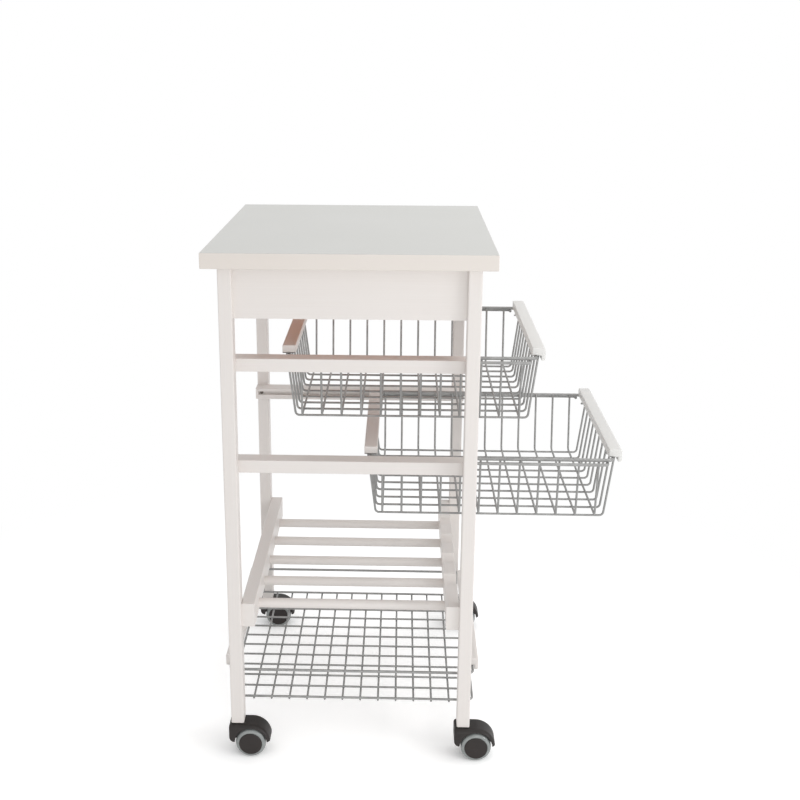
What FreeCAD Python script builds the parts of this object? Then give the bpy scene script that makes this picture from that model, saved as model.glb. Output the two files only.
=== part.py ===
"""Kitchen cart on castors, with two pull-out wire baskets, a bottle rack and a wire tray.

+X is the front, where the baskets pull out, +Y the cart's left side and +Z up.
The origin is on the floor, under the middle of the worktop. Sizes are in millimetres.
"""
import FreeCAD
import Part
import math
import os

Vector = FreeCAD.Vector

# Frame
frame_depth = 393.0
frame_width = 459.0
worktop_height = 850.0
worktop_thickness = 24.0
worktop_overhang_x = 21.5
worktop_overhang_y = 23.5
worktop_edge_round = 1.2
leg_depth = 21.0
leg_width = 25.0
leg_edge_round = 2.0
leg_foot_round = 1.5
apron_height = 82.0
apron_thickness = 13.0

# Runner rails, with the groove that a basket's runner wire slides in
runner_height = 21.0
runner_thickness = 28.0
upper_runner_drop = 66.3
runner_spacing = 165.9
groove_rise = 8.6
groove_play = 1.6
groove_end_wall = 5.0
runner_edge_round = 1.2
rail_screw_diameter = 4.0
rail_screw_length = 32.0
rail_screw_head_height = 2.0
head_clearance = 0.75

# Baskets
upper_pull = 97.0
lower_pull = 225.5
handle_proud = 8.5
basket_depth = 104.6
rim_wire = 5.5
rim_corner_radius = 12.0
rim_side_gap = 1.5
rim_rear_inset = 9.5
runner_wire = 5.0
runner_bite = 3.0
runner_rear_inset = 14.5
runner_front_inset = 21.75
runner_bend_radius = 5.0
slide_clearance = 0.3
grid_wire = 3.5
cross_wire_count = 12
cross_rear_margin = 29.0
cross_front_margin = 36.5
long_wire_count = 10
side_wall_lean = 14.3
end_wall_lean = 13.3
wire_bend_cut = 5.0
wire_end_drop = 0.5
weld_gap = 0.1

# Wooden bars on the baskets and the tray
bar_depth = 21.0
bar_thickness = 13.0
bar_end_gap = 7.0
bar_edge_round = 1.5
handle_height = 21.0
handle_lip = 6.5
handle_lip_gap = 0.6
handle_round = 4.0
handle_foot_round = 3.0
bar_screw_diameter = 3.5
bar_screw_bite = 9.0
bar_screw_head_diameter = 7.0
bar_screw_head_height = 1.5

# Bottle rack
rack_height = 231.7
rack_rail_height = 40.5
rack_rail_thickness = 21.0
rack_rail_setback = 8.0
rack_edge_round = 1.2
dowel_diameter = 16.0
dowel_count = 5
dowel_rise = 11.8
dowel_end_margin = 59.5
dowel_socket_depth = 8.0
notch_radius = 22.0
notch_depth = 12.0

# Tray
tray_rim_height = 133.0
tray_depth = 50.0
tray_side_gap = 18.0
tray_rim_proud = 6.5
tray_rim_wire = 4.5
tray_lip_gap = 1.0
tray_corner_radius = 10.0
tray_edge_wire = 4.0
tray_hanger_offset = 6.0
tray_long_wire_count = 10
tray_cross_wire_count = 12
tray_cross_wire_margin = 39.2
tray_cross_wire_overhang = 2.0
peg_diameter = 5.5
peg_overhang = 14.1
peg_socket_depth = 12.0

# Castors
wheel_radius = 25.0
wheel_width = 15.5
tread_thickness = 6.0
tread_outer_round = 4.2
tread_inner_round = 2.0
hub_proud = 1.5
hub_dome = 1.0
hub_edge_cut = 0.8
axle_radius = 3.0
axle_hub_bite = 11.0
axle_end_clearance = 0.5
running_clearance = 0.05
web_thickness = 9.0
web_boss_radius = 8.0
web_side_clearance = 0.5
hood_gap = 2.0
hood_wall = 5.0
hood_width = 39.0
hood_crown_round = 7.5
hood_nose = 14.5
hood_nose_round = 4.0
hood_foot_round = 9.0
hood_tail_angle = 85
hood_boss_radius = 10.0
castor_trail = 21.5
swivel_gap = 1.0
stem_radius = 4.0
stem_collar_radius = 7.0
stem_rise = 32.0
stem_bore_depth = 11.0

# One overrun serves every cut, so that tools pass clear of the faces they cut
overrun = 1.0
section_sides = 8

# Places that several pieces share
half_depth = frame_depth / 2
half_width = frame_width / 2
hood_radius = wheel_radius + hood_gap + hood_wall
hood_top = wheel_radius + hood_radius
leg_foot = hood_top + swivel_gap
leg_top = worktop_height - worktop_thickness
leg_centre_x = half_depth - leg_depth / 2
leg_centre_y = half_width - leg_width / 2
leg_inner_x = half_depth - leg_depth
leg_inner_y = half_width - leg_width
runner_inner_y = leg_inner_y - runner_thickness
upper_runner_bottom = leg_top - apron_height - upper_runner_drop - runner_height
runner_bottoms = {"upper": upper_runner_bottom, "lower": upper_runner_bottom - runner_spacing}
groove_height = runner_wire + groove_play
groove_depth = runner_bite + runner_wire / 2 + head_clearance + rail_screw_head_height
basket_length = frame_depth + 2 * handle_proud
rim_front_inset = handle_lip + handle_lip_gap + grid_wire + rim_wire / 2
basket_rim_y = runner_inner_y - rim_side_gap - rim_wire / 2
runner_wire_rise = groove_rise + slide_clearance + runner_wire / 2
basket_rim_rise = runner_wire_rise + runner_wire / 2 + rim_wire / 2
bar_length = 2 * (basket_rim_y - bar_end_gap)
weld_offset = rim_wire / 2 + grid_wire / 2 + weld_gap
tray_rim_x = half_depth + tray_rim_proud
tray_rim_y = leg_inner_y - tray_side_gap
side_names = {-1: "right", 1: "left"}
end_names = {-1: "rear", 1: "front"}
corners = [(end, side) for end in end_names for side in side_names]


def block(low, high):
    """Box between two opposite corners."""
    size = high - low
    return Part.makeBox(size.x, size.y, size.z, low)


def parallel_edges(shape, axis):
    """Straight edges of a shape that run along an axis."""
    found = []
    for edge in shape.Edges:
        run = edge.Vertexes[-1].Point - edge.Vertexes[0].Point
        if run.Length > 0 and abs(run.normalize().dot(axis)) > math.cos(math.radians(1)):
            found.append(edge)
    return found


def rounded_path(points, radii, closed=False):
    """Wire of straight runs joined by tangent arcs; an arc of radius zero is a sharp corner."""
    count = len(points)
    starts = []
    ends = []
    arcs = []
    for index, corner in enumerate(points):
        if radii[index] == 0:
            starts.append(corner)
            ends.append(corner)
            continue
        back = (points[index - 1] - corner).normalize()
        ahead = (points[(index + 1) % count] - corner).normalize()
        half_angle = back.getAngle(ahead) / 2
        reach = radii[index] / math.tan(half_angle)
        middle = (back + ahead).normalize() * (radii[index] / math.sin(half_angle) - radii[index])
        starts.append(corner + back * reach)
        ends.append(corner + ahead * reach)
        arcs.append(Part.Arc(corner + back * reach, corner + middle, corner + ahead * reach).toShape())
    runs = range(count if closed else count - 1)
    edges = [Part.makeLine(ends[index], starts[(index + 1) % count]) for index in runs]
    return Part.Wire(Part.__sortEdges__(edges + arcs))


def round_wire(points, radii, diameter, closed=False):
    """Drawn wire of round section, bent along a path of straight runs and arcs."""
    path = rounded_path(points, radii, closed)
    start = path.OrderedEdges[0]
    direction = start.tangentAt(start.FirstParameter)
    section = Part.Wire(Part.makeCircle(diameter / 2, start.valueAt(start.FirstParameter), direction))
    return path.makePipeShell([section], True, False)


def grid_bar(points, diameter, plane_normal):
    """Thin grid wire along a path in one plane, eight-sided so that crossings meet on flats."""
    direction = (points[1] - points[0]).normalize()
    across = direction.cross(plane_normal)
    corner_radius = diameter / 2 / math.cos(math.pi / section_sides)
    ring = []
    for index in range(section_sides + 1):
        angle = 2 * math.pi * (index + 0.5) / section_sides
        offset = plane_normal * math.cos(angle) + across * math.sin(angle)
        ring.append(points[0] + offset * corner_radius)
    section = Part.makePolygon(ring)
    return Part.makePolygon(points).makePipeShell([section], True, False, 1)


def cut_corners(points, cut):
    """Path with each inner corner replaced by a short run, which starts a cut's length before it."""
    eased = [points[0]]
    for before, corner, after in zip(points, points[1:], points[2:]):
        eased.append(corner + (before - corner).normalize() * cut)
        eased.append(corner + (after - corner).normalize() * cut)
    eased.append(points[-1])
    return eased


def spread(low, high, count):
    """Even places from low to high, both ends included."""
    return [low + (high - low) * index / (count - 1) for index in range(count)]


# Worktop
def make_worktop():
    """Square-edged slab on top of the legs and aprons, with its edges just eased."""
    reach = Vector(half_depth + worktop_overhang_x, half_width + worktop_overhang_y, 0)
    slab = block(Vector(-reach.x, -reach.y, leg_top), Vector(reach.x, reach.y, worktop_height))
    return slab.makeFillet(worktop_edge_round, slab.Edges)


# Legs and aprons
def make_leg(end, side):
    """Square leg with eased edges, bored for the castor's stem, the tray's peg and the rail screws."""
    foot = Vector(end * leg_centre_x, side * leg_centre_y, leg_foot)
    low = foot - Vector(leg_depth / 2, leg_width / 2, 0)
    leg = block(low, low + Vector(leg_depth, leg_width, leg_top - leg_foot))
    leg = leg.makeFillet(leg_edge_round, parallel_edges(leg, Vector(0, 0, 1)))
    foot_face = min(leg.Faces, key=lambda face: face.CenterOfMass.z)
    leg = leg.makeFillet(leg_foot_round, foot_face.Edges)
    holes = [Part.makeCylinder(stem_radius, stem_rise, foot), peg_solid(end, side)]
    holes += [rail_screw(end, side, bottom) for bottom in runner_bottoms.values()]
    return leg.cut(holes)


def make_side_apron(side):
    """Board between the two legs of one side, flush with the legs' inner faces."""
    low_y = side * leg_inner_y
    high_y = side * (leg_inner_y + apron_thickness)
    low = Vector(-leg_inner_x, min(low_y, high_y), leg_top - apron_height)
    return block(low, Vector(leg_inner_x, max(low_y, high_y), leg_top))


def make_end_apron(end):
    """Board between the front or rear legs, flush with the legs' inner faces."""
    low_x = end * leg_inner_x
    high_x = end * (leg_inner_x + apron_thickness)
    low = Vector(min(low_x, high_x), -leg_inner_y, leg_top - apron_height)
    return block(low, Vector(max(low_x, high_x), leg_inner_y, leg_top))


# Runner rails
def rail_screw(end, side, bottom):
    """Screw sunk in the groove's floor, through the rail and into the leg."""
    centre_z = bottom + groove_rise + groove_height / 2
    seat_y = side * (runner_inner_y + groove_depth)
    axis = Vector(0, side, 0)
    place = Vector(end * leg_centre_x, seat_y, centre_z)
    head_radius = groove_height / 2 - slide_clearance
    head = Part.makeCylinder(head_radius, rail_screw_head_height, place, axis * -1)
    return head.fuse(Part.makeCylinder(rail_screw_diameter / 2, rail_screw_length, place, axis))


def make_runner(side, bottom):
    """Rail across the inner faces of two legs; its groove is open in front and closed at the rear."""
    low_y = min(side * runner_inner_y, side * leg_inner_y)
    low = Vector(-half_depth, low_y, bottom)
    rail = block(low, low + Vector(frame_depth, runner_thickness, runner_height))
    rail = rail.makeFillet(runner_edge_round, parallel_edges(rail, Vector(1, 0, 0)))
    mouth_y = side * (runner_inner_y - overrun)
    floor_y = side * (runner_inner_y + groove_depth)
    groove_low = Vector(-half_depth + groove_end_wall, min(mouth_y, floor_y), bottom + groove_rise)
    groove_high = Vector(half_depth + overrun, max(mouth_y, floor_y), bottom + groove_rise + groove_height)
    return rail.cut([block(groove_low, groove_high)] + [rail_screw(end, side, bottom) for end in end_names])


# Wooden bars
def bar_outline(front_x, top_z, lip):
    """Section of a bar: a plain strip, or an upside-down L whose lip hangs in front of the rim wire."""
    back_x = front_x - bar_depth
    under_z = top_z - bar_thickness
    points = [Vector(back_x, 0, under_z), Vector(back_x, 0, top_z), Vector(front_x, 0, top_z)]
    radii = [0, bar_edge_round, handle_round if lip else bar_edge_round]
    if lip:
        points.append(Vector(front_x, 0, top_z - handle_height))
        points.append(Vector(front_x - handle_lip, 0, top_z - handle_height))
        points.append(Vector(front_x - handle_lip, 0, under_z))
        radii += [handle_foot_round, bar_edge_round, 0]
    else:
        points.append(Vector(front_x, 0, under_z))
        radii.append(0)
    return rounded_path(points, radii, closed=True)


def make_bar(front_x, top_z, lip, screws):
    """Wooden bar across a basket or the tray, seated on the rim wire and drilled for its screws."""
    face = Part.Face(bar_outline(front_x, top_z, lip))
    face.translate(Vector(0, -bar_length / 2, 0))
    return face.extrude(Vector(0, bar_length, 0)).cut(screws)


def bar_screws(rim_x, inward, rim_z, diameter, wire_places):
    """Two screws up into a bar, midway between two long wires, whose heads clamp the rim from below."""
    screw_x = rim_x + inward * (diameter / 2 + bar_screw_diameter / 2 + weld_gap)
    head_z = rim_z - diameter / 2 - bar_screw_head_height
    shank_length = bar_screw_head_height + diameter + bar_screw_bite
    screw_y = (wire_places[0] + wire_places[1]) / 2
    screws = []
    for place_y in (screw_y, -screw_y):
        place = Vector(screw_x, place_y, head_z)
        head = Part.makeCylinder(bar_screw_head_diameter / 2, bar_screw_head_height, place)
        screws.append(head.fuse(Part.makeCylinder(bar_screw_diameter / 2, shank_length, place)))
    return screws


# Baskets
def wire_loop(low_x, high_x, reach_y, height, corner_radius, diameter):
    """Closed wire: a flat rectangle with rounded corners."""
    loop = [Vector(low_x, -reach_y, height), Vector(high_x, -reach_y, height)]
    loop += [Vector(high_x, reach_y, height), Vector(low_x, reach_y, height)]
    return round_wire(loop, [corner_radius] * len(loop), diameter, closed=True)


def basket_rim(rear_x, bottom):
    """Closed rim wire with a runner wire welded below each side, its ends turned in under the rim."""
    rim_z = bottom + basket_rim_rise
    low_x = rear_x + rim_rear_inset
    high_x = rear_x + basket_length - rim_front_inset
    wires = [wire_loop(low_x, high_x, basket_rim_y, rim_z, rim_corner_radius, rim_wire)]
    runner_z = bottom + runner_wire_rise
    runner_low = rear_x + runner_rear_inset + runner_wire / 2
    runner_high = rear_x + basket_length - runner_front_inset - runner_wire / 2
    for side in side_names:
        outer_y = side * (runner_inner_y + runner_bite)
        inner_y = side * (basket_rim_y - rim_wire / 2)
        route = [Vector(runner_low, inner_y, runner_z), Vector(runner_low, outer_y, runner_z)]
        route += [Vector(runner_high, outer_y, runner_z), Vector(runner_high, inner_y, runner_z)]
        wires.append(round_wire(route, [0, runner_bend_radius, runner_bend_radius, 0], runner_wire))
    return wires


def basket_long_places():
    """Sideways places of a basket's long wires; the outer two lie just inside the cross wires' bends."""
    floor_corner = basket_rim_y - weld_offset - side_wall_lean
    outer = floor_corner - wire_bend_cut - grid_wire * math.tan(math.pi / 8)
    return spread(-outer, outer, long_wire_count)


def basket_grid(rear_x, bottom):
    """Cross wires bent into a trough, on long wires that turn up at both ends, outside the rim."""
    rim_z = bottom + basket_rim_rise
    long_z = rim_z - basket_depth
    cross_z = long_z + grid_wire
    top_z = rim_z + rim_wire / 2 - wire_end_drop
    wall_top_y = basket_rim_y - weld_offset
    wall_foot_y = wall_top_y - side_wall_lean
    cross_low = rear_x + cross_rear_margin
    cross_high = rear_x + basket_length - cross_front_margin
    wires = []
    for place_x in spread(cross_low, cross_high, cross_wire_count):
        trough = [Vector(place_x, -wall_top_y, top_z), Vector(place_x, -wall_foot_y, cross_z)]
        trough += [Vector(place_x, wall_foot_y, cross_z), Vector(place_x, wall_top_y, top_z)]
        wires.append(grid_bar(cut_corners(trough, wire_bend_cut), grid_wire, Vector(1, 0, 0)))
    wall_slope = end_wall_lean / (top_z - long_z)
    top_offset = weld_offset * math.hypot(1, wall_slope) + wall_slope * (top_z - rim_z)
    wall_top_low = rear_x + rim_rear_inset - top_offset
    wall_top_high = rear_x + basket_length - rim_front_inset + top_offset
    wall_foot_low = wall_top_low + end_wall_lean
    wall_foot_high = wall_top_high - end_wall_lean
    for place_y in basket_long_places():
        trough = [Vector(wall_top_low, place_y, top_z), Vector(wall_foot_low, place_y, long_z)]
        trough += [Vector(wall_foot_high, place_y, long_z), Vector(wall_top_high, place_y, top_z)]
        wires.append(grid_bar(cut_corners(trough, wire_bend_cut), grid_wire, Vector(0, 1, 0)))
    return wires


def make_basket(name, pull):
    """Nodes of one basket, pulled out from its closed place by the given length."""
    bottom = runner_bottoms[name]
    rear_x = pull - half_depth - handle_proud
    front_x = rear_x + basket_length
    rim_z = bottom + basket_rim_rise
    bar_top = rim_z + rim_wire / 2 + bar_thickness
    places = basket_long_places()
    rear_screws = bar_screws(rear_x + rim_rear_inset, 1, rim_z, rim_wire, places)
    front_screws = bar_screws(front_x - rim_front_inset, -1, rim_z, rim_wire, places)
    return {
        name + "_basket_handle": make_bar(front_x, bar_top, True, front_screws),
        name + "_basket_rear_bar": make_bar(rear_x + bar_depth, bar_top, False, rear_screws),
        name + "_basket_rim": Part.makeCompound(basket_rim(rear_x, bottom)),
        name + "_basket_grid": Part.makeCompound(basket_grid(rear_x, bottom)),
        name + "_basket_screws": Part.makeCompound(rear_screws + front_screws),
    }


# Bottle rack
def rack_places():
    """Sideways places of the rack's dowels."""
    outer = half_width - rack_rail_setback - dowel_end_margin
    return spread(-outer, outer, dowel_count)


def rack_dowels():
    """Round dowels between the two rack rails, with their ends in blind sockets."""
    inner_x = leg_inner_x - rack_rail_thickness
    start_x = -inner_x - dowel_socket_depth
    length = 2 * (inner_x + dowel_socket_depth)
    height = rack_height + dowel_rise
    dowels = []
    for place_y in rack_places():
        start = Vector(start_x, place_y, height)
        dowels.append(Part.makeCylinder(dowel_diameter / 2, length, start, Vector(1, 0, 0)))
    return dowels


def make_rack_rail(end):
    """Rail across the inner faces of two legs; the front one is notched for the bottles' necks."""
    low_x = min(end * leg_inner_x, end * (leg_inner_x - rack_rail_thickness))
    reach_y = half_width - rack_rail_setback
    low = Vector(low_x, -reach_y, rack_height)
    rail = block(low, low + Vector(rack_rail_thickness, 2 * reach_y, rack_rail_height))
    rail = rail.makeFillet(rack_edge_round, parallel_edges(rail, Vector(0, 1, 0)))
    tools = rack_dowels()
    if end_names[end] == "front":
        places = rack_places()
        notch_z = rack_height + rack_rail_height - notch_depth + notch_radius
        length = rack_rail_thickness + 2 * overrun
        for first, second in zip(places, places[1:]):
            start = Vector(low_x - overrun, (first + second) / 2, notch_z)
            tools.append(Part.makeCylinder(notch_radius, length, start, Vector(1, 0, 0)))
    return rail.cut(tools)


# Tray
def peg_solid(end, side):
    """Steel peg pressed into a leg's inner face, under the tray's rim."""
    height = tray_rim_height - tray_rim_wire / 2 - peg_diameter / 2
    start = Vector(end * leg_centre_x, side * (leg_inner_y + peg_socket_depth), height)
    length = peg_socket_depth + tray_side_gap + peg_overhang
    return Part.makeCylinder(peg_diameter / 2, length, start, Vector(0, -side, 0))


def tray_long_places():
    """Sideways places of the tray's long wires, evenly between the sides of its edge wire."""
    return spread(-tray_rim_y, tray_rim_y, tray_long_wire_count + 2)[1:-1]


def tray_grid():
    """Closed edge wire hung below the rim, long wires between its ends, and cross wires under them all."""
    long_z = tray_rim_height - tray_depth
    cross_z = long_z - grid_wire
    edge_z = cross_z + grid_wire / 2 + tray_edge_wire / 2
    wires = [wire_loop(-tray_rim_x, tray_rim_x, tray_rim_y, edge_z, tray_corner_radius, tray_edge_wire)]
    end_x = tray_rim_x - tray_edge_wire / 2 - weld_gap
    for place_y in tray_long_places():
        route = [Vector(-end_x, place_y, long_z), Vector(end_x, place_y, long_z)]
        wires.append(grid_bar(route, grid_wire, Vector(0, 1, 0)))
    cross_x = tray_rim_x - tray_cross_wire_margin
    reach_y = tray_rim_y + tray_edge_wire / 2 + tray_cross_wire_overhang
    for place_x in spread(-cross_x, cross_x, tray_cross_wire_count):
        route = [Vector(place_x, -reach_y, cross_z), Vector(place_x, reach_y, cross_z)]
        wires.append(grid_bar(route, grid_wire, Vector(1, 0, 0)))
    hanger_low = edge_z + tray_edge_wire / 2 + weld_gap
    hanger_high = tray_rim_height - tray_rim_wire / 2 - weld_gap
    for end, side in corners:
        foot = Vector(end * (leg_centre_x + tray_hanger_offset), side * tray_rim_y, hanger_low)
        wires.append(Part.makeCylinder(tray_edge_wire / 2, hanger_high - hanger_low, foot))
    return wires


# Castors
def castor_stem(place):
    """Pin pressed into the leg, with a thin collar under the leg's foot, on which the hood turns."""
    bottom = place.z - swivel_gap - stem_bore_depth + axle_end_clearance
    pin = Part.makeCylinder(stem_radius, leg_foot + stem_rise - bottom, Vector(place.x, place.y, bottom))
    collar_height = swivel_gap - slide_clearance
    collar = Part.makeCylinder(stem_collar_radius, collar_height, place - Vector(0, 0, collar_height))
    return pin.fuse(collar)


def crowned_section(axle):
    """Section of the hood across the axle and above it: sides that round over into a crown."""
    half = hood_width / 2
    points = [Vector(0, -half, 0), Vector(0, -half, hood_radius)]
    points += [Vector(0, half, hood_radius), Vector(0, half, 0)]
    section = Part.Face(rounded_path(points, [0, hood_crown_round, hood_crown_round, 0], closed=True))
    section.translate(axle)
    return section


def castor_hood(place):
    """Crowned hood over both wheels: a round back, a straight nose, a centre web and two wheel pockets."""
    axle = Vector(place.x + castor_trail, place.y, wheel_radius)
    nose = crowned_section(axle).extrude(Vector(-castor_trail - hood_nose, 0, 0))
    nose_face = min(nose.Faces, key=lambda face: face.CenterOfMass.x)
    foot_edge = min(nose_face.Edges, key=lambda edge: edge.CenterOfMass.z)
    nose = nose.makeFillet(hood_foot_round, [foot_edge])
    nose_face = min(nose.Faces, key=lambda face: face.CenterOfMass.x)
    rising_edges = sorted(nose_face.Edges, key=lambda edge: edge.CenterOfMass.z)[1:]
    nose = nose.makeFillet(hood_nose_round, rising_edges)
    back = crowned_section(axle).revolve(axle, Vector(0, 1, 0), hood_tail_angle)
    collar_start = Vector(place.x, place.y, hood_top - hood_wall)
    collar = Part.makeCylinder(hood_boss_radius, hood_wall, collar_start)
    boss_start = Vector(axle.x, place.y - web_thickness / 2, axle.z)
    boss = Part.makeCylinder(web_boss_radius, web_thickness, boss_start, Vector(0, 1, 0))
    hood = nose.fuse([back, collar])
    pockets = []
    for side in side_names:
        start = Vector(axle.x, place.y + side * web_thickness / 2, axle.z)
        pockets.append(Part.makeCylinder(wheel_radius + hood_gap, hood_width, start, Vector(0, side, 0)))
    hood = hood.cut(pockets).fuse(boss)
    bores = [Part.makeCylinder(axle_radius, hood_width, boss_start - Vector(0, overrun, 0), Vector(0, 1, 0))]
    bore_bottom = Vector(place.x, place.y, hood_top - stem_bore_depth)
    bores.append(Part.makeCylinder(stem_radius + running_clearance, stem_bore_depth + overrun, bore_bottom))
    return hood.cut(bores).removeSplitter()


def wheel_points(points, axle, side):
    """Points of a wheel's half section, given as radius and distance out from the wheel's inner face."""
    start_y = axle.y + side * (web_thickness / 2 + web_side_clearance)
    return [Vector(axle.x + point.x, start_y + side * point.y, axle.z) for point in points]


def castor_tread(axle, side):
    """Grey tyre ring, well rounded on its outer shoulder, moulded round the hub."""
    inner = wheel_radius - tread_thickness
    points = [Vector(inner, 0, 0), Vector(wheel_radius, 0, 0)]
    points += [Vector(wheel_radius, wheel_width, 0), Vector(inner, wheel_width, 0)]
    radii = [0, tread_inner_round, tread_outer_round, 0]
    outline = rounded_path(wheel_points(points, axle, side), radii, closed=True)
    return Part.Face(outline).revolve(axle, Vector(0, 1, 0), 360)


def castor_hub(axle, side):
    """Dark hub: a plain, slightly domed disc outside, with a blind bore for the axle inside."""
    radius = wheel_radius - tread_thickness
    outer = wheel_width + hub_proud
    bore = axle_radius + running_clearance
    bore_end = axle_hub_bite - web_side_clearance + axle_end_clearance
    face_radius = radius - hub_edge_cut
    dome_radius = (face_radius ** 2 + hub_dome ** 2) / (2 * hub_dome)
    half_sag = dome_radius - math.sqrt(dome_radius ** 2 - (face_radius / 2) ** 2)
    points = [Vector(0, bore_end, 0), Vector(bore, bore_end, 0), Vector(bore, 0, 0), Vector(radius, 0, 0)]
    points += [Vector(radius, outer - hub_edge_cut, 0), Vector(face_radius, outer, 0)]
    points += [Vector(face_radius / 2, outer + hub_dome - half_sag, 0), Vector(0, outer + hub_dome, 0)]
    placed = wheel_points(points, axle, side)
    sides = Part.makePolygon(placed[-1:] + placed[:-2])
    dome = Part.Arc(*placed[-3:]).toShape()
    return Part.Face(Part.Wire(sides.Edges + [dome])).revolve(axle, Vector(0, 1, 0), 360)


def make_castor(end, side):
    """Nodes of one twin-wheel castor, trailing behind its stem towards the front of the cart."""
    name = "castor_" + end_names[end] + "_" + side_names[side]
    place = Vector(end * leg_centre_x, side * leg_centre_y, leg_foot)
    axle = Vector(place.x + castor_trail, place.y, wheel_radius)
    half_axle = web_thickness / 2 + axle_hub_bite
    axle_start = Vector(axle.x, axle.y - half_axle, axle.z)
    nodes = {
        name + "_stem": castor_stem(place),
        name + "_hood": castor_hood(place),
        name + "_axle": Part.makeCylinder(axle_radius, 2 * half_axle, axle_start, Vector(0, 1, 0)),
    }
    for wheel, wheel_side in (("outer", side), ("inner", -side)):
        nodes[name + "_" + wheel + "_hub"] = castor_hub(axle, wheel_side)
        nodes[name + "_" + wheel + "_tread"] = castor_tread(axle, wheel_side)
    return nodes


# The whole cart, one file for each piece
nodes = {"worktop": make_worktop()}
for end, side in corners:
    nodes["leg_" + end_names[end] + "_" + side_names[side]] = make_leg(end, side)
for side, side_name in side_names.items():
    nodes["apron_" + side_name] = make_side_apron(side)
    for name, bottom in runner_bottoms.items():
        nodes[name + "_runner_" + side_name] = make_runner(side, bottom)
screws = [rail_screw(end, side, bottom) for end, side in corners for bottom in runner_bottoms.values()]
for end, end_name in end_names.items():
    nodes["apron_" + end_name] = make_end_apron(end)
    nodes["rack_rail_" + end_name] = make_rack_rail(end)
nodes["rack_dowels"] = Part.makeCompound(rack_dowels())
nodes.update(make_basket("upper", upper_pull))
nodes.update(make_basket("lower", lower_pull))

tray_bar_top = tray_rim_height + tray_rim_wire / 2 + bar_thickness
tray_screw_wires = tray_long_places()[:2]
tray_front_screws = bar_screws(tray_rim_x, -1, tray_rim_height, tray_rim_wire, tray_screw_wires)
tray_rear_screws = bar_screws(-tray_rim_x, 1, tray_rim_height, tray_rim_wire, tray_screw_wires)
tray_bar_front = tray_rim_x + tray_rim_wire / 2 + tray_lip_gap + handle_lip
tray_bar = make_bar(tray_bar_front, tray_bar_top, True, tray_front_screws)
nodes["tray_front_bar"] = tray_bar
nodes["tray_rear_bar"] = tray_bar.mirror(Vector(0, 0, 0), Vector(1, 0, 0))
tray_loop_size = (-tray_rim_x, tray_rim_x, tray_rim_y, tray_rim_height, tray_corner_radius)
nodes["tray_rim"] = wire_loop(*tray_loop_size, tray_rim_wire)
nodes["tray_grid"] = Part.makeCompound(tray_grid())
nodes["tray_pegs"] = Part.makeCompound([peg_solid(end, side) for end, side in corners])
nodes["frame_screws"] = Part.makeCompound(screws + tray_front_screws + tray_rear_screws)
for end, side in corners:
    nodes.update(make_castor(end, side))

os.makedirs("parts", exist_ok=True)
for node, shape in nodes.items():
    shape.exportStep("parts/" + node + ".step")
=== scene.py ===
"""Looks of a white kitchen cart on castors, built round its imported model, in metres.

+X is the front, where the baskets pull out, +Y the cart's left side and +Z up.
"""

import bmesh
import bpy
import numpy as np
from mathutils import Matrix, Vector


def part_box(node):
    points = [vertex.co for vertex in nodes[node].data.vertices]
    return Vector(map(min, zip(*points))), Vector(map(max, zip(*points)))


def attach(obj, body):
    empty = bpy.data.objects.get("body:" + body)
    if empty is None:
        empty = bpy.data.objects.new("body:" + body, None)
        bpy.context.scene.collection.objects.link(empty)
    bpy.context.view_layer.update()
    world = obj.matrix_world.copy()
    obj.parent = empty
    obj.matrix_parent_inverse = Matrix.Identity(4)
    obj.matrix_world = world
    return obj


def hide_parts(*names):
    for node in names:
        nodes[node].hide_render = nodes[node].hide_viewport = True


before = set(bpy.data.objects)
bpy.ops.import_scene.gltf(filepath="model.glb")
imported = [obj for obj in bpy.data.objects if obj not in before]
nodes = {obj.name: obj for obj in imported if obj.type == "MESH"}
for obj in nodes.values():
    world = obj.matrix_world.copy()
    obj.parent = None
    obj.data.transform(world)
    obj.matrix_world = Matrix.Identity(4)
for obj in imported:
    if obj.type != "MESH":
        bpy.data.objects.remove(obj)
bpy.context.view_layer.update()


# Legs, aprons and rails
# Planed softwood, primed and sprayed with a warm white satin lacquer, through which the grain just shows.
# Legs and aprons are dowelled and glued. The runner rails are screwed to the legs' inner faces, and the
# rack's rails, with five dowels let into them, are dowelled there.
lacquer_light = (0.800, 0.762, 0.735)
lacquer_deep = (0.770, 0.726, 0.694)
lacquer_roughness = (0.36, 0.48)
grain_streaks_along = 5.0
grain_streaks_across = 620.0
grain_detail = 4.0
grain_depth = 0.00003
lacquer_peel = 900.0
peel_depth = 0.00001
lacquer_shade_swells = 9.0


def new_finish(name):
    """Material with an empty Principled shader; gives the material, its node tree and its shader."""
    material = bpy.data.materials.new(name)
    material.use_nodes = True
    return material, material.node_tree, material.node_tree.nodes["Principled BSDF"]


def noise(tree, swells, detail=2.0):
    """Noise on the piece's own coordinates, with the given swells per metre along x, y and z."""
    place = tree.nodes.new("ShaderNodeTexCoord")
    mapping = tree.nodes.new("ShaderNodeMapping")
    mapping.inputs["Scale"].default_value = swells
    texture = tree.nodes.new("ShaderNodeTexNoise")
    texture.inputs["Scale"].default_value = 1.0
    texture.inputs["Detail"].default_value = detail
    tree.links.new(place.outputs["Object"], mapping.inputs["Vector"])
    tree.links.new(mapping.outputs["Vector"], texture.inputs["Vector"])
    return texture.outputs["Fac"]


def ramp(tree, source, low, high, start=0.3, stop=0.7):
    """Colour that goes from low to high as the source goes from start to stop."""
    band = tree.nodes.new("ShaderNodeValToRGB")
    band.color_ramp.elements[0].position = start
    band.color_ramp.elements[0].color = (*low, 1.0)
    band.color_ramp.elements[1].position = stop
    band.color_ramp.elements[1].color = (*high, 1.0)
    tree.links.new(source, band.inputs["Fac"])
    return band.outputs["Color"]


def grey(level):
    """The same level in red, green and blue."""
    return (level, level, level)


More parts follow.
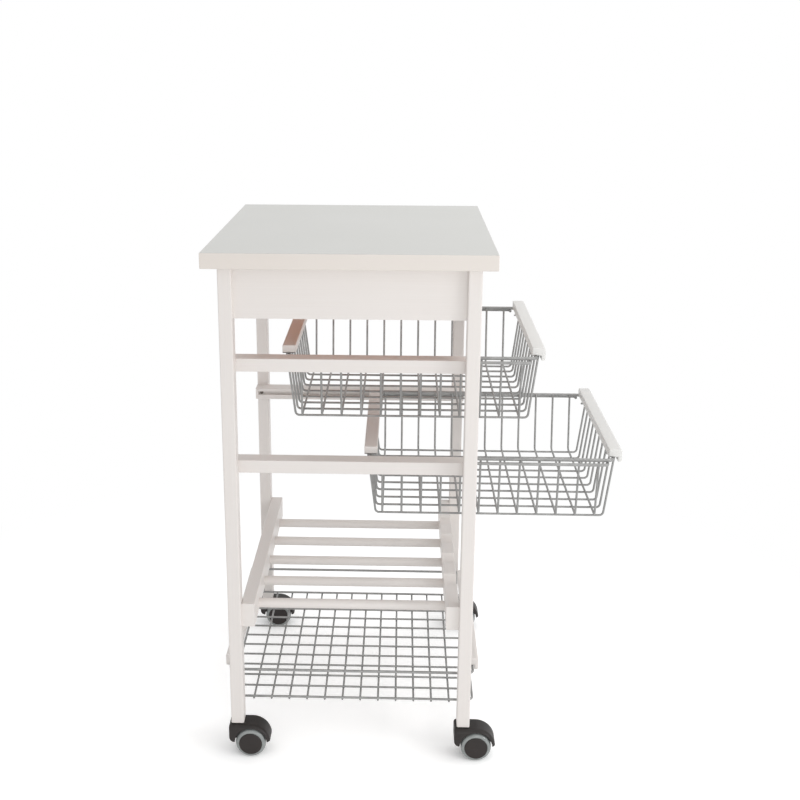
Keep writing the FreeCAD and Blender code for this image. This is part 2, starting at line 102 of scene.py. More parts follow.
def mixed(tree, source, first, second):
    """Colour between two others, by a source from 0 to 1; the second may be a plain colour."""
    mix = tree.nodes.new("ShaderNodeMix")
    mix.data_type = "RGBA"
    tree.links.new(source, mix.inputs["Factor"])
    tree.links.new(first, mix.inputs[6])
    if isinstance(second, tuple):
        mix.inputs[7].default_value = (*second, 1.0)
    else:
        tree.links.new(second, mix.inputs[7])
    return mix.outputs[2]


def relief(tree, shader, *layers):
    """Bumps of the given depths in metres, one upon another, into the shader's normal."""
    normal = None
    for source, depth in layers:
        bump = tree.nodes.new("ShaderNodeBump")
        bump.inputs["Distance"].default_value = depth
        tree.links.new(source, bump.inputs["Height"])
        if normal is not None:
            tree.links.new(normal, bump.inputs["Normal"])
        normal = bump.outputs["Normal"]
    tree.links.new(normal, shader.inputs["Normal"])


def white_lacquer(name, along, deep_colour, light_colour):
    """Satin lacquer on wood whose grain runs along axis 0, 1 or 2."""
    material, tree, shader = new_finish(name)
    swells = [grain_streaks_across] * 3
    swells[along] = grain_streaks_along
    grain = noise(tree, swells, grain_detail)
    shade = noise(tree, [lacquer_shade_swells] * 3)
    peel = noise(tree, [lacquer_peel] * 3)
    grained = ramp(tree, grain, deep_colour, light_colour)
    tree.links.new(mixed(tree, shade, grained, light_colour), shader.inputs["Base Color"])
    tree.links.new(ramp(tree, shade, *map(grey, lacquer_roughness)), shader.inputs["Roughness"])
    relief(tree, shader, (grain, grain_depth), (peel, peel_depth))
    return material


def dress(material, *names):
    """Gives CAD nodes a finish."""
    for name in names:
        slots = nodes[name].data.materials
        slots.clear()
        slots.append(material)


lacquer_x = white_lacquer("white_lacquer_along_x", 0, lacquer_deep, lacquer_light)
lacquer_y = white_lacquer("white_lacquer_along_y", 1, lacquer_deep, lacquer_light)
lacquer_z = white_lacquer("white_lacquer_upright", 2, lacquer_deep, lacquer_light)
corners = [end + "_" + side for end in ("rear", "front") for side in ("right", "left")]
dress(lacquer_z, *["leg_" + corner for corner in corners])
dress(lacquer_x, "apron_right", "apron_left", "rack_dowels")
runners = [level + "_runner_" + side for level in ("upper", "lower") for side in ("right", "left")]
dress(lacquer_x, *runners)
dress(lacquer_y, "apron_rear", "apron_front", "rack_rail_rear", "rack_rail_front")


# Worktop
# A thick slab of particle board, faced with white laminate that has a faint pebbled skin and edged with a
# warmer white band that laps under the overhang. Within the frame its underside is the bare brown board.
# The laminate's grey on the top face is partly its own tone and partly painted shade, darker than the band.
laminate_shaded_light = (0.635, 0.635, 0.610)
laminate_shaded_deep = (0.613, 0.612, 0.586)
band_light = (0.765, 0.715, 0.668)
band_deep = (0.745, 0.690, 0.640)
board_light = (0.80, 0.32, 0.13)
board_deep = (0.64, 0.225, 0.08)
board_chips = 160.0
board_chip_detail = 6.0
laminate_pebble = 1400.0
pebble_depth = 0.00002
laminate_clouds = 6.0
laminate_cloud_detail = 3.0
laminate_roughness = (0.34, 0.44)
seam_start = 0.0003
seam_stop = 0.0006
worktop_low, worktop_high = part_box("worktop")
apron_reach = (-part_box("apron_rear")[0].x, -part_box("apron_right")[0].y)


def height_step(tree, start, stop):
    """0 below one height of the piece's own coordinates and 1 above another."""
    place = tree.nodes.new("ShaderNodeTexCoord")
    parts = tree.nodes.new("ShaderNodeSeparateXYZ")
    above = tree.nodes.new("ShaderNodeMapRange")
    above.inputs["From Min"].default_value = start
    above.inputs["From Max"].default_value = stop
    tree.links.new(place.outputs["Object"], parts.inputs["Vector"])
    tree.links.new(parts.outputs["Z"], above.inputs["Value"])
    return above.outputs["Result"]


def within_frame(tree):
    """1 inside the aprons' outer faces, by the piece's own x and y, and 0 at the overhang round them."""
    place = tree.nodes.new("ShaderNodeTexCoord")
    from_middle = tree.nodes.new("ShaderNodeVectorMath")
    from_middle.operation = "ABSOLUTE"
    parts = tree.nodes.new("ShaderNodeSeparateXYZ")
    both = tree.nodes.new("ShaderNodeMath")
    both.operation = "MULTIPLY"
    tree.links.new(place.outputs["Object"], from_middle.inputs[0])
    tree.links.new(from_middle.outputs["Vector"], parts.inputs["Vector"])
    for axis, reach, factor in zip("XY", apron_reach, both.inputs):
        inside = tree.nodes.new("ShaderNodeMath")
        inside.operation = "LESS_THAN"
        inside.inputs[1].default_value = reach
        tree.links.new(parts.outputs[axis], inside.inputs[0])
        tree.links.new(inside.outputs["Value"], factor)
    return both.outputs["Value"]


def worktop_finish():
    """Bare board, edge band and laminate darkened by painted shade, told apart by their heights and by the
    frame's outline.
    """
    material, tree, shader = new_finish("laminate_with_painted_shade")
    above_board = height_step(tree, worktop_low.z + seam_start, worktop_low.z + seam_stop)
    above_band = height_step(tree, worktop_high.z - seam_stop, worktop_high.z - seam_start)
    chips = noise(tree, [board_chips] * 3, board_chip_detail)
    pebble = noise(tree, [laminate_pebble] * 3)
    cloud = noise(tree, [laminate_clouds] * 3, laminate_cloud_detail)
    band = ramp(tree, cloud, band_deep, band_light)
    board = mixed(tree, within_frame(tree), band, ramp(tree, chips, board_deep, board_light))
    # The laminate's colours carry painted shade over the whole top face.
    laminate = ramp(tree, cloud, laminate_shaded_deep, laminate_shaded_light)
    paint = mixed(tree, above_band, mixed(tree, above_board, board, band), laminate)
    tree.links.new(paint, shader.inputs["Base Color"])
    tree.links.new(ramp(tree, cloud, *map(grey, laminate_roughness)), shader.inputs["Roughness"])
    relief(tree, shader, (pebble, pebble_depth))
    return material


dress(worktop_finish(), "worktop")


# Castors
# Twin-wheel castors of moulded nylon: a brown-black hood on a steel stem pressed into the leg's foot.
# Two wheels run on a steel axle through the hood's web, each a dark hub with a soft grey tread moulded on.
hood_colour = (0.016, 0.013, 0.012)
hood_roughness = 0.42
hub_colour = (0.018, 0.0138, 0.0124)
hub_roughness = 0.44
nylon_specular = 0.36
nylon_roughness_spread = 0.12
nylon_flow_paling = 1.35
nylon_flow = 60.0
nylon_flow_detail = 3.0
moulded_texture = 1600.0
moulded_depth = 0.00003
tread_light = (0.29, 0.31, 0.305)
tread_deep = (0.215, 0.232, 0.227)
tread_roughness = (0.38, 0.24)
tread_specular = 0.8
tread_rubs = 140.0
tread_rub_detail = 4.0
tread_rub_depth = 0.00003
tread_thickness = 0.006
tread_shoulder = 0.0057
tread_inner_round = 0.002
bore_edge = 0.0002
zinc_light = (0.62, 0.62, 0.61)
zinc_deep = (0.48, 0.48, 0.47)
zinc_roughness = 0.28
zinc_roughness_spread = 0.15
zinc_clouds = 300.0
zinc_cloud_detail = 4.0
turning_marks = (80.0, 2600.0, 80.0)
turning_mark_depth = 0.00001
sharp_edge = np.radians(38)
x_axis, y_axis, z_axis = np.eye(3)


def moulded_plastic(name, colour, roughness):
    """Dark nylon with a fine sparked texture and faint flow marks in its gloss."""
    material, tree, shader = new_finish(name)
    shader.inputs["Specular IOR Level"].default_value = nylon_specular
    flow = noise(tree, [nylon_flow] * 3, nylon_flow_detail)
    spark = noise(tree, [moulded_texture] * 3)
    paler = [channel * nylon_flow_paling for channel in colour]
    duller = roughness + nylon_roughness_spread
    tree.links.new(ramp(tree, flow, colour, paler), shader.inputs["Base Color"])
    tree.links.new(ramp(tree, flow, grey(roughness), grey(duller)), shader.inputs["Roughness"])
    relief(tree, shader, (spark, moulded_depth))
    return material


def soft_tread():
    """Grey tread of soft plastic, a little darker and duller where it is rubbed."""
    material, tree, shader = new_finish("grey_tread")
    shader.inputs["Specular IOR Level"].default_value = tread_specular
    rub = noise(tree, [tread_rubs] * 3, tread_rub_detail)
    tree.links.new(ramp(tree, rub, tread_deep, tread_light), shader.inputs["Base Color"])
    tree.links.new(ramp(tree, rub, *map(grey, tread_roughness)), shader.inputs["Roughness"])
    relief(tree, shader, (rub, tread_rub_depth))
    return material


def plated_steel(name, deep, light, roughness):
    """Zinc plated steel with fine turning marks and a cloudy gloss."""
    material, tree, shader = new_finish(name)
    shader.inputs["Metallic"].default_value = 1.0
    cloud = noise(tree, [zinc_clouds] * 3, zinc_cloud_detail)
    marks = noise(tree, turning_marks)
    duller = roughness + zinc_roughness_spread
    tree.links.new(ramp(tree, cloud, deep, light), shader.inputs["Base Color"])
    tree.links.new(ramp(tree, cloud, grey(roughness), grey(duller)), shader.inputs["Roughness"])
    relief(tree, shader, (marks, turning_mark_depth))
    return material


def unit(vectors):
    """Vectors of length one, in the same directions."""
    return vectors / np.linalg.norm(vectors, axis=-1, keepdims=True)


def bent_line(corner_points, radii, closed=False, steps=9):
    """Line through corner points, each inner corner rounded by an arc of its own radius.

    An arc's centre lies on the corner's bisector, radius / sin(half the angle) away, and its points are
    centre + radius * (side * sin(turn) - bisector * cos(turn)), with the turn going from -half to +half.
    """
    corner_points = np.asarray(corner_points, float)
    radii = np.broadcast_to(np.asarray(radii, float), len(corner_points))
    back = unit(np.roll(corner_points, 1, axis=0) - corner_points)
    ahead = unit(np.roll(corner_points, -1, axis=0) - corner_points)
    bisector = unit(back + ahead)
    side = unit(ahead - back)
    half_angle = np.arccos(np.clip((bisector * ahead).sum(axis=1), -1.0, 1.0))
    turn = np.linspace(-1.0, 1.0, steps) * (np.pi / 2 - half_angle)[:, None]
    centre = corner_points + bisector * (radii / np.sin(half_angle))[:, None]
    swing = side[:, None] * np.sin(turn)[..., None] - bisector[:, None] * np.cos(turn)[..., None]
    arcs = centre[:, None] + radii[:, None, None] * swing
    if closed:
        return arcs.reshape(-1, 3)
    return np.concatenate([corner_points[:1], arcs[1:-1].reshape(-1, 3), corner_points[-1:]])


def ring_faces(rows, columns, closed=False):
    """Quads between rows of a grid whose columns close up; the rows close up too where asked."""
    row = np.arange(rows if closed else rows - 1)[:, None]
    column = np.arange(columns)[None, :]
    ahead = (row + 1) % rows
    beside = (column + 1) % columns
    near_edge = (row * columns + column, row * columns + beside)
    far_edge = (ahead * columns + beside, ahead * columns + column)
    return np.stack(near_edge + far_edge, axis=-1).reshape(-1, 4)


def put_piece(name, surfaces, material, body, slot, *replaced):
    """Joins closed surfaces into one mesh piece, which rides on a body and stands for CAD nodes."""
    faces = []
    start = 0
    for vertices, blocks in surfaces:
        for block in blocks:
            faces += (block + start).tolist()
        start += len(vertices)
    mesh = bpy.data.meshes.new(name)
    mesh.from_pydata(np.concatenate([vertices for vertices, blocks in surfaces]), [], faces)
    shell = bmesh.new()
    shell.from_mesh(mesh)
    bmesh.ops.recalc_face_normals(shell, faces=shell.faces)
    shell.to_mesh(mesh)
    shell.free()
    mesh.shade_smooth()
    mesh.set_sharp_from_angle(angle=sharp_edge)
    mesh.materials.append(material)
    piece = bpy.data.objects.new(name, mesh)
    bpy.context.scene.collection.objects.link(piece)
    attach(piece, body)
    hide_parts(*replaced)


def turned_ring(outline, centre, sides=72):
    """An outline of radius and place along y, turned about an upright wheel's centre.

    A point lies at centre + radius * (x axis * cos(angle) + z axis * sin(angle)) + y axis * place.
    """
    angle = (2 * np.pi * np.arange(sides) / sides)[:, None, None]
    spoke = x_axis * np.cos(angle) + z_axis * np.sin(angle)
    rows = centre + outline[:, :1] * spoke + y_axis * outline[:, 1:2]
    return rows.reshape(-1, 3), [ring_faces(sides, len(outline), closed=True)]


hood_plastic = moulded_plastic("brown_black_nylon", hood_colour, hood_roughness)
hub_plastic = moulded_plastic("hub_nylon", hub_colour, hub_roughness)
tread_plastic = soft_tread()
bright_steel = plated_steel("bright_zinc", zinc_deep, zinc_light, zinc_roughness)
for corner in corners:
    castor = "castor_" + corner + "_"
    dress(hood_plastic, castor + "hood")
    dress(bright_steel, castor + "stem", castor + "axle")
    hood_low, hood_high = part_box(castor + "hood")
    middle_y = (hood_low.y + hood_high.y) / 2
    for wheel in ("outer", "inner"):
        dress(hub_plastic, castor + wheel + "_hub")
        tread = castor + wheel + "_tread"
        tread_low, tread_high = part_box(tread)
        radius = (tread_high.x - tread_low.x) / 2
        bore = radius - tread_thickness
        inside_y, outside_y = sorted((tread_low.y, tread_high.y), key=lambda y: abs(y - middle_y))
        section = [(bore, inside_y, 0), (radius, inside_y, 0)]
        section += [(radius, outside_y, 0), (bore, outside_y, 0)]
        rounds = [bore_edge, tread_inner_round, tread_shoulder, bore_edge]
        outline = bent_line(section, rounds, closed=True)
        centre = np.array([(tread_low.x + tread_high.x) / 2, 0, radius])
        body = castor + wheel + "_wheel"
        surfaces = [turned_ring(outline, centre)]
        put_piece(tread + "_soft", surfaces, tread_plastic, body, "tread_rubber", tread)


# Wire baskets
# Drawn steel wire, spot welded and dipped in silver-grey epoxy: a heavy rim with a runner wire under each
# side, which slides in the rail's groove. Cross wires are bent into a trough inside the rim, and lie on
# long wires that turn up outside it at both ends.
rim_wire = 0.0055
runner_wire = 0.005
grid_wire = 0.0035
rim_corner = 0.012
runner_outset = 0.00725
runner_drop = 0.00525
runner_ends = (0.0075, 0.0109)
runner_bend = 0.005
cross_ends = (0.0195, 0.02315)
cross_count = 12
long_count = 10
long_reach = 0.1469
side_lean = 0.0143
end_lean = 0.0133
end_outset = 0.00466
wire_bend = 0.0065
wire_top = 0.0012
weld_sink = 0.0002
wire_end_shares = np.array([0.70, 0.90, 1.0])
wire_end_reach = np.array([0.0, 0.12, 0.45])
bead_latitudes = np.radians([-65.0, -25.0, 25.0, 65.0])
cross_bead = (0.0016, 0.0016, 0.0011)
runner_bead = (0.0024, 0.0024, 0.0010)
side_bead = (0.0012, 0.0009, 0.0019)
end_bead = (0.0009, 0.0012, 0.0019)
coat_light = (0.36, 0.36, 0.355)
coat_deep = (0.29, 0.29, 0.285)
coat_roughness = (0.46, 0.34)
coat_metallic = 0.35
coat_swells = 90.0
coat_swell_detail = 3.0
coat_swell_depth = 0.00006
coat_skin = 1500.0
coat_skin_depth = 0.00002


def round_wire(line, diameter, flat_normal, closed=False, sides=14):
    """A circle carried square to a line that lies in one plane; open ends are eased by shrinking rings.

    A point lies at line + radius * (plane's normal * cos(angle) + normal across the line * sin(angle)).
    """
    radius = diameter / 2
    shares = np.ones(len(line))
    if not closed:
        reach = wire_end_reach * radius
        first = line[0] + unit(line[1] - line[0]) * reach[:, None]
        last = line[-1] + unit(line[-2] - line[-1]) * reach[::-1, None]
        line = np.concatenate([first, line[1:-1], last])
        shares = np.concatenate([wire_end_shares, shares[1:-1], wire_end_shares[::-1]])
    step = unit(np.roll(line, -1, axis=0) - line)
    tangent = step + np.roll(step, 1, axis=0)
    if not closed:
        tangent[0] = step[0]
        tangent[-1] = step[-2]
    across = unit(np.cross(tangent, flat_normal))
    angle = 2 * np.pi * np.arange(sides) / sides
    spoke = np.cos(angle)[:, None] * flat_normal + np.sin(angle)[:, None] * across[:, None]
    vertices = (line[:, None] + radius * shares[:, None, None] * spoke).reshape(-1, 3)
    faces = [ring_faces(len(line), sides, closed)]
    if not closed:
        faces.append(np.stack([np.arange(sides), len(vertices) - sides + np.arange(sides)]))
    return vertices, faces


def weld_beads(places, radii, sides=8):
    """Flattened balls at many places: rings at sin(latitude) with radius cos(latitude), capped flat."""
    angle = 2 * np.pi * np.arange(sides) / sides
    ring = np.stack([np.cos(angle), np.sin(angle), np.zeros(sides)], axis=-1)
    ball = ring * np.cos(bead_latitudes)[:, None, None] + z_axis * np.sin(bead_latitudes)[:, None, None]
    ball = ball.reshape(-1, 3) * radii
    vertices = (np.asarray(places)[:, None] + ball).reshape(-1, 3)
    starts = (np.arange(len(places)) * len(ball))[:, None, None]
    quads = ring_faces(len(bead_latitudes), sides)[None] + starts
    caps = np.stack([np.arange(sides), len(ball) - sides + np.arange(sides)])[None] + starts
    return vertices, [quads.reshape(-1, 4), caps.reshape(-1, sides)]


def grey_coat():
    """Dipped silver-grey epoxy: a satin skin that is a little uneven along the wire."""
    material, tree, shader = new_finish("grey_epoxy_coat")
    shader.inputs["Metallic"].default_value = coat_metallic
    swell = noise(tree, [coat_swells] * 3, coat_swell_detail)
    skin = noise(tree, [coat_skin] * 3)
    tree.links.new(ramp(tree, swell, coat_deep, coat_light), shader.inputs["Base Color"])
    tree.links.new(ramp(tree, swell, *map(grey, coat_roughness)), shader.inputs["Roughness"])
    relief(tree, shader, (skin, coat_skin_depth), (swell, coat_swell_depth))
    return material


def wire_loop(low_x, high_x, reach_y, height, corner_radius, diameter):
    """Closed wire: a flat rectangle with rounded corners."""
    loop = [(low_x, -reach_y, height), (high_x, -reach_y, height)]
    loop += [(high_x, reach_y, height), (low_x, reach_y, height)]
    return round_wire(bent_line(loop, corner_radius, closed=True), diameter, z_axis, closed=True)


def crossings(places_x, places_y, height):
    """Places where wires at the given x cross wires at the given y."""
    grid_x, grid_y = np.meshgrid(places_x, places_y)
    return np.stack([grid_x.ravel(), grid_y.ravel(), np.full(grid_x.size, height)], axis=-1)


wire_coat = grey_coat()
for level in ("upper", "lower"):
    basket = level + "_basket"
    rim_low, rim_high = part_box(basket + "_rim")
    rear_x = rim_low.x + rim_wire / 2
    front_x = rim_high.x - rim_wire / 2
    rim_z = rim_high.z - rim_wire / 2
    runner_y = rim_high.y - runner_wire / 2
    rim_y = runner_y - runner_outset
    inner_y = rim_y - rim_wire / 2
    runner_z = rim_z - runner_drop
    surfaces = [wire_loop(rear_x, front_x, rim_y, rim_z, rim_corner, rim_wire)]
    runner_low = rear_x + runner_ends[0]
    runner_high = front_x - runner_ends[1]
    for side in (-1, 1):
        route = [(runner_low, side * inner_y, runner_z), (runner_low, side * runner_y, runner_z)]
        route += [(runner_high, side * runner_y, runner_z), (runner_high, side * inner_y, runner_z)]
        surfaces.append(round_wire(bent_line(route, runner_bend), runner_wire, z_axis))
    runner_welds = crossings([runner_low, runner_high], [-rim_y, rim_y], rim_z - rim_wire / 2)
    surfaces.append(weld_beads(runner_welds, runner_bead))
    put_piece(basket + "_rim_wires", surfaces, wire_coat, basket, "grey_wire", basket + "_rim")

    long_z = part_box(basket + "_grid")[0].z + grid_wire / 2
    cross_z = long_z + grid_wire - weld_sink
    top_z = rim_z + wire_top
    wall_y = inner_y - grid_wire / 2 + weld_sink
    wall_rear = rear_x - end_outset
    wall_front = front_x + end_outset
    cross_places = np.linspace(rear_x + cross_ends[0], front_x - cross_ends[1], cross_count)
    long_places = np.linspace(-long_reach, long_reach, long_count)
    surfaces = []
    for place in cross_places:
        trough = [(place, -wall_y, top_z), (place, side_lean - wall_y, cross_z)]
        trough += [(place, wall_y - side_lean, cross_z), (place, wall_y, top_z)]
        surfaces.append(round_wire(bent_line(trough, wire_bend), grid_wire, x_axis))
    for place in long_places:
        trough = [(wall_rear, place, top_z), (wall_rear + end_lean, place, long_z)]
        trough += [(wall_front - end_lean, place, long_z), (wall_front, place, top_z)]
        surfaces.append(round_wire(bent_line(trough, wire_bend), grid_wire, y_axis))
    surfaces.append(weld_beads(crossings(cross_places, long_places, long_z + grid_wire / 2), cross_bead))
    surfaces.append(weld_beads(crossings(cross_places, [-inner_y, inner_y], rim_z), side_bead))
    outer_x = [rear_x - rim_wire / 2, front_x + rim_wire / 2]
    surfaces.append(weld_beads(crossings(outer_x, long_places, rim_z), end_bead))
    put_piece(basket + "_grid_wires", surfaces, wire_coat, basket, "grey_wire", basket + "_grid")


# Wooden bars
# Planed strips across each basket and the tray, screwed to the rim from below. The handles are lacquered a
# cooler white, the others like the legs. Handles and tray bars have a lip that hangs before the rim, and a
# basket's rear bar is plain.
handle_light = (0.762, 0.757, 0.738)
handle_deep = (0.734, 0.727, 0.706)
bar_thickness = 0.013
bar_edge = 0.0016
bar_end_ease = 0.0014
lip_thickness = 0.0065
handle_edge = 0.004
lip_foot = 0.003
hidden_edge = 0.0004
bar_corner_steps = 7


def eased_bar(outline, low_y, high_y):
    """An outline in x and z carried along y, drawn in by a quarter circle at each end.

    At ease * (1 - cos(turn)) from the end, the outline is drawn in by ease * (1 - sin(turn)).
    """
    step = np.roll(outline, -1, axis=0) - np.roll(outline, 1, axis=0)
    outward = unit(np.cross(step, y_axis))
    turn = np.radians([0.0, 22.5, 45.0, 67.5, 90.0])
    draw = bar_end_ease * (1 - np.sin(turn))
    reach = bar_end_ease * (1 - np.cos(turn))
    draw = np.concatenate([draw, draw[::-1]])
    stations = np.concatenate([low_y + reach, high_y - reach[::-1]])
    rows = outline - outward * draw[:, None, None] + y_axis * stations[:, None, None]
    count = len(outline)
    ends = np.stack([np.arange(count), (len(stations) - 1) * count + np.arange(count)])
    return rows.reshape(-1, 3), [ring_faces(len(stations), count), ends]


def bar_outline(back_x, outer_x, low_z, high_z, lip):
    """Outline of a bar seen from its end, from its back over its top; a lip hangs at its outer side."""
    under = high_z - bar_thickness
    points = [(back_x, 0, under), (back_x, 0, high_z), (outer_x, 0, high_z)]
    radii = [hidden_edge, bar_edge, handle_edge if lip else bar_edge]
    if lip:
        lip_x = outer_x - np.sign(outer_x - back_x) * lip_thickness
        points += [(outer_x, 0, low_z), (lip_x, 0, low_z), (lip_x, 0, under)]
        radii += [lip_foot, bar_edge, hidden_edge]
    else:
        points.append((outer_x, 0, under))
        radii.append(hidden_edge)
    return bent_line(points, radii, closed=True, steps=bar_corner_steps)


bars = {
    "upper_basket_handle": "upper_basket",
    "upper_basket_rear_bar": "upper_basket",
    "lower_basket_handle": "lower_basket",
    "lower_basket_rear_bar": "lower_basket",
    "tray_front_bar": "root",
    "tray_rear_bar": "root",
}
handle_lacquer = white_lacquer("cool_white_lacquer", 1, handle_deep, handle_light)
for bar, body in bars.items():
    bar_low, bar_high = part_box(bar)
    if bar == "tray_rear_bar":
        outline = bar_outline(bar_high.x, bar_low.x, bar_low.z, bar_high.z, True)[::-1]
    else:
        outline = bar_outline(bar_low.x, bar_high.x, bar_low.z, bar_high.z, "rear" not in bar)
    lacquer = handle_lacquer if "handle" in bar else lacquer_y
    surfaces = [eased_bar(outline, bar_low.y, bar_high.y)]
    put_piece(bar + "_wood", surfaces, lacquer, body, "white_lacquer", bar)


# Wire tray
# Welded and dipped like the baskets: a rim that rests on four pegs, and an edge wire of the same shape hung
# below it on four short wires. Long wires run between the edge wire's ends, and cross wires are welded
# under them all.
tray_rim_wire = 0.0045
tray_corner = 0.010
tray_edge_wire = 0.004
tray_hanger_x = 0.192
tray_long_count = 10
tray_cross_count = 12
tray_cross_margin = 0.0392
tray_end_reach = 0.001
tray_end_bead = (0.0010, 0.0013, 0.0011)

rim_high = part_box("tray_rim")[1]
rim_x = rim_high.x - tray_rim_wire / 2
rim_y = rim_high.y - tray_rim_wire / 2
rim_z = rim_high.z - tray_rim_wire / 2
rim_surface = wire_loop(-rim_x, rim_x, rim_y, rim_z, tray_corner, tray_rim_wire)
put_piece("tray_rim_wire", [rim_surface], wire_coat, "root", "grey_wire", "tray_rim")

cross_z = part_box("tray_grid")[0].z + grid_wire / 2
long_z = cross_z + grid_wire - weld_sink
edge_z = cross_z + grid_wire / 2 + tray_edge_wire / 2 - weld_sink
end_x = rim_x - tray_edge_wire / 2 + weld_sink
reach_y = rim_y + tray_end_reach
long_places = np.linspace(-rim_y, rim_y, tray_long_count + 2)
cross_places = np.linspace(tray_cross_margin - rim_x, rim_x - tray_cross_margin, tray_cross_count)
surfaces = [wire_loop(-rim_x, rim_x, rim_y, edge_z, tray_corner, tray_edge_wire)]
for place in long_places[1:-1]:
    run = np.array([(-end_x, place, long_z), (end_x, place, long_z)])
    surfaces.append(round_wire(run, grid_wire, y_axis))
for place in cross_places:
    run = np.array([(place, -reach_y, cross_z), (place, reach_y, cross_z)])
    surfaces.append(round_wire(run, grid_wire, x_axis))
hanger_heights = (edge_z + tray_edge_wire / 2 - weld_sink, rim_z - tray_rim_wire / 2 + weld_sink)
for end, side in ((-1, -1), (-1, 1), (1, -1), (1, 1)):
    run = np.array([(end * tray_hanger_x, side * rim_y, height) for height in hanger_heights])
    surfaces.append(round_wire(run, tray_edge_wire, x_axis))
surfaces.append(weld_beads(crossings(cross_places, long_places, cross_z + grid_wire / 2), cross_bead))
surfaces.append(weld_beads(crossings([-end_x, end_x], long_places[1:-1], long_z), tray_end_bead))
put_piece("tray_grid_wires", surfaces, wire_coat, "root", "grey_wire", "tray_grid")


# Pegs and screws
# Dark plated steel: pegs pressed into the legs under the tray's rim, long screws sunk in the runner
# grooves, and the short screws of the tray's bars. Bright zinc: the baskets' short screws, whose heads
# clamp the rims to the wooden bars from below.
dark_light = (0.20, 0.18, 0.165)
dark_deep = (0.12, 0.105, 0.095)
dark_roughness = 0.34
dark_steel = plated_steel("dark_zinc", dark_deep, dark_light, dark_roughness)
dress(dark_steel, "tray_pegs", "frame_screws")
dress(bright_steel, "upper_basket_screws", "lower_basket_screws")


# Floor and white surround
# A plain pale floor that fades to white round the cart, under an even white surround.
# What the camera and the shiny surfaces see there is white, while the floor keeps the cart's shadow.
floor_reach = 6.0
floor_colour = (0.93, 0.93, 0.93)
floor_glow = 0.40
# A shadow painted into the floor's glow by the castors: how far it looks, how much glow it takes away, and
# its leaning direction.
painted_shadow_reach = 0.10
painted_shadow_depth = 0.46
painted_shadow_lean = (0.60, -0.45, 0.66)
fade_start = 0.45
fade_stop = 1.10
surround_light = 0.70


def seen_directly(tree):
    """1 for rays from the camera and for mirrored or refracted rays, 0 for those that carry light."""
    path = tree.nodes.new("ShaderNodeLightPath")
    seen = path.outputs["Is Camera Ray"]
    for ray in ("Is Glossy Ray", "Is Transmission Ray"):
        either = tree.nodes.new("ShaderNodeMath")
        either.operation = "MAXIMUM"
        tree.links.new(seen, either.inputs[0])
        tree.links.new(path.outputs[ray], either.inputs[1])
        seen = either.outputs["Value"]
    return seen


def product(tree, first, second):
    """One value times another, kept between 0 and 1."""
    times = tree.nodes.new("ShaderNodeMath")
    times.operation = "MULTIPLY"
    times.use_clamp = True
    tree.links.new(first, times.inputs[0])
    tree.links.new(second, times.inputs[1])
    return times.outputs["Value"]


def glow_with_painted_shadow(tree):
    """The floor's glow with a painted shadow: weaker where something near stands in the way of a leaning
    direction.
    """
    lean = tree.nodes.new("ShaderNodeCombineXYZ")
    for socket, part in zip(lean.inputs, painted_shadow_lean):
        socket.default_value = part
    painted_shadow_probe = tree.nodes.new("ShaderNodeAmbientOcclusion")
    painted_shadow_probe.inputs["Distance"].default_value = painted_shadow_reach
    glow = tree.nodes.new("ShaderNodeMapRange")
    glow.inputs["To Min"].default_value = floor_glow - painted_shadow_depth
    glow.inputs["To Max"].default_value = floor_glow
    tree.links.new(lean.outputs["Vector"], painted_shadow_probe.inputs["Normal"])
    tree.links.new(painted_shadow_probe.outputs["AO"], glow.inputs["Value"])
    return glow.outputs["Result"]


def far_share(tree):
    """0 round the cart and 1 far from it, by the distance from the floor's middle."""
    place = tree.nodes.new("ShaderNodeTexCoord")
    distance = tree.nodes.new("ShaderNodeVectorMath")
    distance.operation = "LENGTH"
    fade = tree.nodes.new("ShaderNodeMapRange")
    fade.interpolation_type = "SMOOTHSTEP"
    fade.inputs["From Min"].default_value = fade_start
    fade.inputs["From Max"].default_value = fade_stop
    tree.links.new(place.outputs["Object"], distance.inputs[0])
    tree.links.new(distance.outputs["Value"], fade.inputs["Value"])
    return fade.outputs["Result"]


def pale_floor():
    """Matt floor that glows a little, less where a shadow is painted by the castors, and gives way to plain
    white far from the cart.

    The glow and the white are there only for rays that see the floor, straight or mirrored, so that they
    cast no light.
    """
    material, tree, shader = new_finish("pale_floor")
    tree.nodes.remove(shader)
    matt = tree.nodes.new("ShaderNodeBsdfDiffuse")
    matt.inputs["Color"].default_value = (*floor_colour, 1.0)
    glow = tree.nodes.new("ShaderNodeEmission")
    white = tree.nodes.new("ShaderNodeEmission")
    near = tree.nodes.new("ShaderNodeAddShader")
    whole = tree.nodes.new("ShaderNodeMixShader")
    seen = seen_directly(tree)
    # The glow carries the painted shadow by the castors.
    tree.links.new(product(tree, seen, glow_with_painted_shadow(tree)), glow.inputs["Strength"])
    tree.links.new(matt.outputs["BSDF"], near.inputs[0])
    tree.links.new(glow.outputs["Emission"], near.inputs[1])
    tree.links.new(product(tree, far_share(tree), seen), whole.inputs["Fac"])
    tree.links.new(near.outputs["Shader"], whole.inputs[1])
    tree.links.new(white.outputs["Emission"], whole.inputs[2])
    tree.links.new(whole.outputs["Shader"], tree.nodes["Material Output"].inputs["Surface"])
    return material


floor_corners = np.array([(-1, -1, 0), (1, -1, 0), (1, 1, 0), (-1, 1, 0)]) * floor_reach
floor_mesh = bpy.data.meshes.new("floor")
floor_mesh.from_pydata(floor_corners, [], [(0, 1, 2, 3)])
floor_mesh.materials.append(pale_floor())
floor = bpy.data.objects.new("floor", floor_mesh)
bpy.context.scene.collection.objects.link(floor)

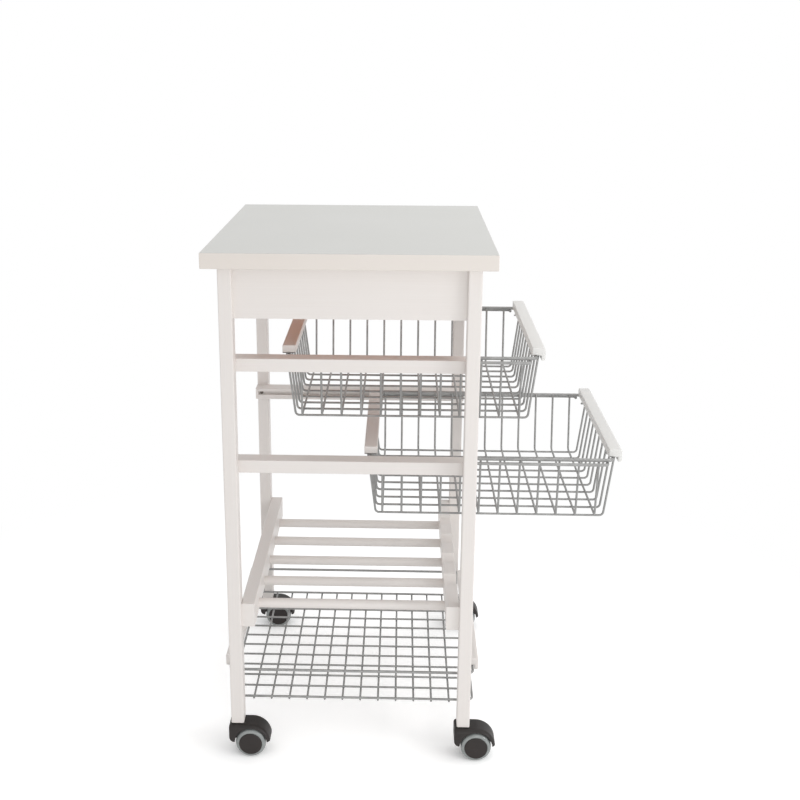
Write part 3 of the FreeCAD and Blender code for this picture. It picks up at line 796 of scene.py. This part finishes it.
world = bpy.data.worlds.new("white_surround")
world.use_nodes = True
bpy.context.scene.world = world
background = world.node_tree.nodes["Background"]
background.inputs["Color"].default_value = (1.0, 1.0, 1.0, 1.0)
strength = world.node_tree.nodes.new("ShaderNodeMapRange")
strength.inputs["To Min"].default_value = surround_light
world.node_tree.links.new(seen_directly(world.node_tree), strength.inputs["Value"])
world.node_tree.links.new(strength.outputs["Result"], background.inputs["Strength"])


# Lamps and camera
# A wide soft lamp level with the cart on the camera's side, a smaller one at the camera's right and one
# overhead, in front of the cart, each with its place, width and power in watts. The camera stands where
# the photograph was taken from, on the cart's right side.
lamps = {
    "front_softbox": ((0.40, -2.80, 0.58), 1.8, 11.2),
    "right_softbox": ((2.20, -1.40, 1.05), 1.2, 16.0),
    "top_softbox": ((0.90, 0.15, 2.40), 1.2, 9.0),
}
lamp_aim = Vector((0.05, 0.0, 0.45))
camera_place = Vector((0.075538, -1.873400, 1.148794))
camera_pitch = np.radians(15.3166)
camera_yaw = np.radians(-1.6161)
camera_roll = np.radians(0.1795)
photo_pixels = 800.0
focal_pixels = 1136.798
axis_pixel = (368.956, 351.192)
sensor_width = 36.0

for lamp_name, (lamp_place, lamp_size, lamp_watts) in lamps.items():
    lamp_data = bpy.data.lights.new(lamp_name, "AREA")
    lamp_data.shape = "DISK"
    lamp_data.size = lamp_size
    lamp_data.energy = lamp_watts
    lamp = bpy.data.objects.new(lamp_name, lamp_data)
    lamp.location = lamp_place
    lamp.rotation_euler = (lamp_aim - Vector(lamp_place)).to_track_quat("-Z", "Y").to_euler()
    bpy.context.scene.collection.objects.link(lamp)

level_ahead = np.array([np.sin(camera_yaw), np.cos(camera_yaw), 0.0])
forward = level_ahead * np.cos(camera_pitch) - z_axis * np.sin(camera_pitch)
level_right = np.array([np.cos(camera_yaw), -np.sin(camera_yaw), 0.0])
level_up = np.cross(level_right, forward)
right = level_right * np.cos(camera_roll) + level_up * np.sin(camera_roll)
up = level_up * np.cos(camera_roll) - level_right * np.sin(camera_roll)
camera_data = bpy.data.cameras.new("camera")
camera_data.sensor_width = sensor_width
camera_data.lens = sensor_width * focal_pixels / photo_pixels
camera_data.shift_x = 0.5 - axis_pixel[0] / photo_pixels
camera_data.shift_y = axis_pixel[1] / photo_pixels - 0.5
camera = bpy.data.objects.new("camera", camera_data)
camera_turn = Matrix(np.stack([right, up, -forward], axis=1)).to_4x4()
camera.matrix_world = Matrix.Translation(camera_place) @ camera_turn
bpy.context.scene.collection.objects.link(camera)
bpy.context.scene.camera = camera
bpy.context.scene.view_settings.view_transform = "Standard"
